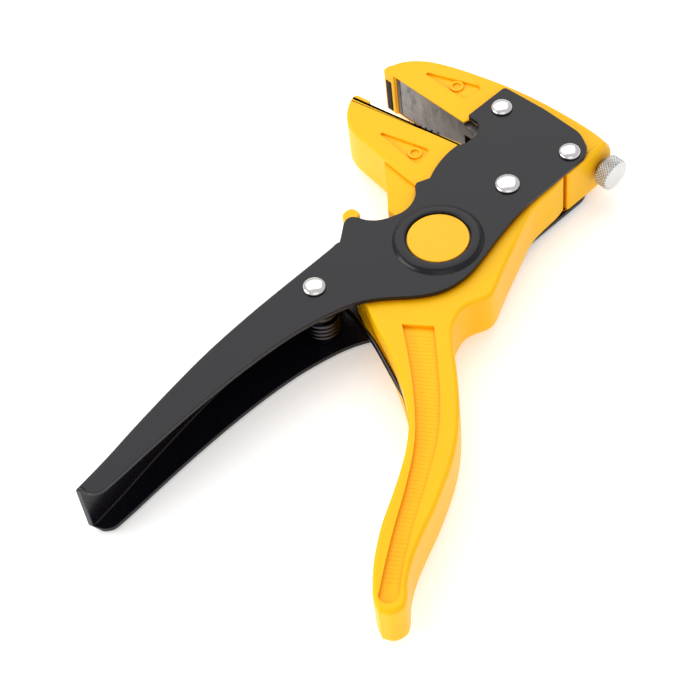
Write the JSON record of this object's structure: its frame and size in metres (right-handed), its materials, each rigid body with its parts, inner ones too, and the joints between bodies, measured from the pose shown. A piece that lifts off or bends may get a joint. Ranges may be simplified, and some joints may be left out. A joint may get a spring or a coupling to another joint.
{
  "type": "wire stripper",
  "caption": "Self-adjusting duck-bill wire stripper: bent sheet-metal frame grip, moulded jaws with sliding blades, sprung moulded lever grip, side cutter and a knurled adjuster.",
  "frame": {"origin": "axis of the main pivot on the plane that the tool lies on, the face of the back pivot cap", "axes": "-X the way the jaws point and along the fixed jaw's bite face, +Y from the pivot to the jaws, -Y along the grips, +Z out of the front side plate"},
  "size_m": [0.1351, 0.1846, 0.0217],
  "materials": {
    "frame_coat": "semi-gloss charcoal",
    "jaw_plastic": "satin",
    "handle_plastic": "satin",
    "cap_plastic": "satin",
    "rivet_nickel": "polished nickel",
    "steel": "ground",
    "blade_steel": "scuffed",
    "knurled_nickel": "knurled nickel",
    "brass": "satin",
    "black_comb": "moulded",
    "grip_rubber": "matt",
    "spring_steel": "oiled black"
  },
  "bodies": {
    "frame": {"frame_channel": "frame_coat", "upper_jaw": "jaw_plastic", "upper_grip_strip": "grip_rubber", "jaw_rivets": "rivet_nickel", "jaw_pivot_rivet": "rivet_nickel", "spring_rivet": "rivet_nickel", "spring_bush": "steel", "main_pivot_pin": "steel", "front_cap": "cap_plastic", "back_cap": "cap_plastic", "fixed_cutter_blade": "blade_steel", "knob_nut": "brass", "return_spring_coil": "spring_steel", "wedge_spring": "spring_steel"},
    "lower_jaw": {"lower_jaw": "jaw_plastic", "lower_grip_pad": "grip_rubber", "jaw_bush": "steel"},
    "handle": {"handle": "handle_plastic", "drive_lever": "steel", "lever_pins": "steel", "handle_bush": "brass", "moving_cutter_blade": "blade_steel"},
    "upper_carriage": {"upper_blade_holder": "blade_steel", "upper_blade": "blade_steel", "upper_drive_pin": "steel"},
    "lower_carriage": {"lower_blade_holder": "black_comb", "lower_blade": "blade_steel"},
    "adjuster": {"adjusting_knob": "knurled_nickel", "adjusting_screw": "steel"},
    "wedge": {"pressure_wedge": "steel"},
    "spring_leg": {"spring_leg": "spring_steel"}
  },
  "joints": [
    {"name": "handle_squeeze", "type": "hinge", "parent": "frame", "child": "handle", "pos_m": [0, 0, 0.0105], "axis": [0, 0, -1], "range_deg": [0, 20], "stiffness_Nm_per_rad": 2.2, "springref_deg": -20.05},
    {"name": "lower_jaw_close", "type": "hinge", "parent": "frame", "child": "lower_jaw", "pos_m": [0.0002, 0.0278, 0.0105], "axis": [0, 0, -1], "range_deg": [0, 11.6]},
    {"name": "upper_carriage_slide", "type": "slide", "parent": "frame", "child": "upper_carriage", "axis": [1, 0, 0], "range_m": [0, 0.0141]},
    {"name": "lower_carriage_slide", "type": "slide", "parent": "lower_jaw", "child": "lower_carriage", "axis": [0.9768, 0.2141, 0], "range_m": [0, 0.0141]},
    {"name": "spring_leg_swing", "type": "hinge", "parent": "frame", "child": "spring_leg", "pos_m": [-0.0131, -0.035, 0.0105], "axis": [0, 0, -1], "range_deg": [0, 21.01]},
    {"name": "adjuster_turn", "type": "hinge", "parent": "frame", "child": "adjuster", "pos_m": [0, 0.0573, 0.0105], "axis": [1, 0, 0], "range_deg": [-720, 720]},
    {"name": "wedge_slide", "type": "slide", "parent": "frame", "child": "wedge", "axis": [1, 0, 0], "range_m": [-0.0016, 0.0016], "deforming": ["wedge_spring"]}
  ],
  "couplings": [
    {"joint": "lower_jaw_close", "follows": "handle_squeeze", "ratio": 0.58},
    {"joint": "upper_carriage_slide", "follows": "handle_squeeze", "m_per_rad": 0.040393},
    {"joint": "lower_carriage_slide", "follows": "handle_squeeze", "m_per_rad": 0.040393},
    {"joint": "spring_leg_swing", "follows": "handle_squeeze", "ratio": 1.05},
    {"joint": "adjuster_turn", "follows": "wedge_slide", "rad_per_m": 7854}
  ]
}
